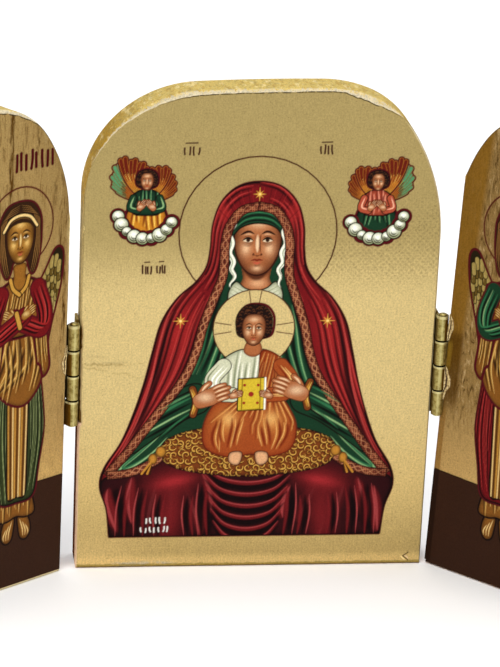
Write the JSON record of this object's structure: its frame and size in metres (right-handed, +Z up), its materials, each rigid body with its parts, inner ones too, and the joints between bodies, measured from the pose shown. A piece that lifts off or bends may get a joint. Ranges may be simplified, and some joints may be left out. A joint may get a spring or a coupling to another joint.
{
  "type": "triptych altarpiece",
  "caption": "Small standing triptych: an arched gilt wooden panel with a painted devotional scene and two hinged half-arch wings with painted angels that fold shut over it.",
  "frame": {"origin": "middle of the centre panel's underside", "axes": "+Z up, -Y towards the viewer out of the painted front, +X to the viewer's right"},
  "size_m": [0.1925, 0.0478, 0.14],
  "materials": {
    "gilded_wood": "gold paint and pale gold foil over wood, satin, worn at the arrises",
    "brass": "dull yellow brass with dark seams"
  },
  "bodies": {
    "centre": {"centre_panel": "gilded_wood", "left_hinge_centre_leaf": "brass", "left_hinge_pin": "brass", "left_centre_nail_1": "brass", "left_centre_nail_2": "brass", "right_hinge_centre_leaf": "brass", "right_hinge_pin": "brass", "right_centre_nail_1": "brass", "right_centre_nail_2": "brass"},
    "left_wing": {"left_wing": "gilded_wood", "left_hinge_wing_leaf": "brass", "left_wing_nail_1": "brass", "left_wing_nail_2": "brass"},
    "right_wing": {"right_wing": "gilded_wood", "right_hinge_wing_leaf": "brass", "right_wing_nail_1": "brass", "right_wing_nail_2": "brass"}
  },
  "joints": [
    {"name": "left_wing_fold", "type": "hinge", "parent": "centre", "child": "left_wing", "pos_m": [-0.05115, -0.0059, 0.0584], "axis": [0, 0, 1], "range_deg": [-41.5, 143.5]},
    {"name": "right_wing_fold", "type": "hinge", "parent": "centre", "child": "right_wing", "pos_m": [0.05115, -0.0059, 0.0608], "axis": [0, 0, -1], "range_deg": [-47.5, 133.2]}
  ]
}
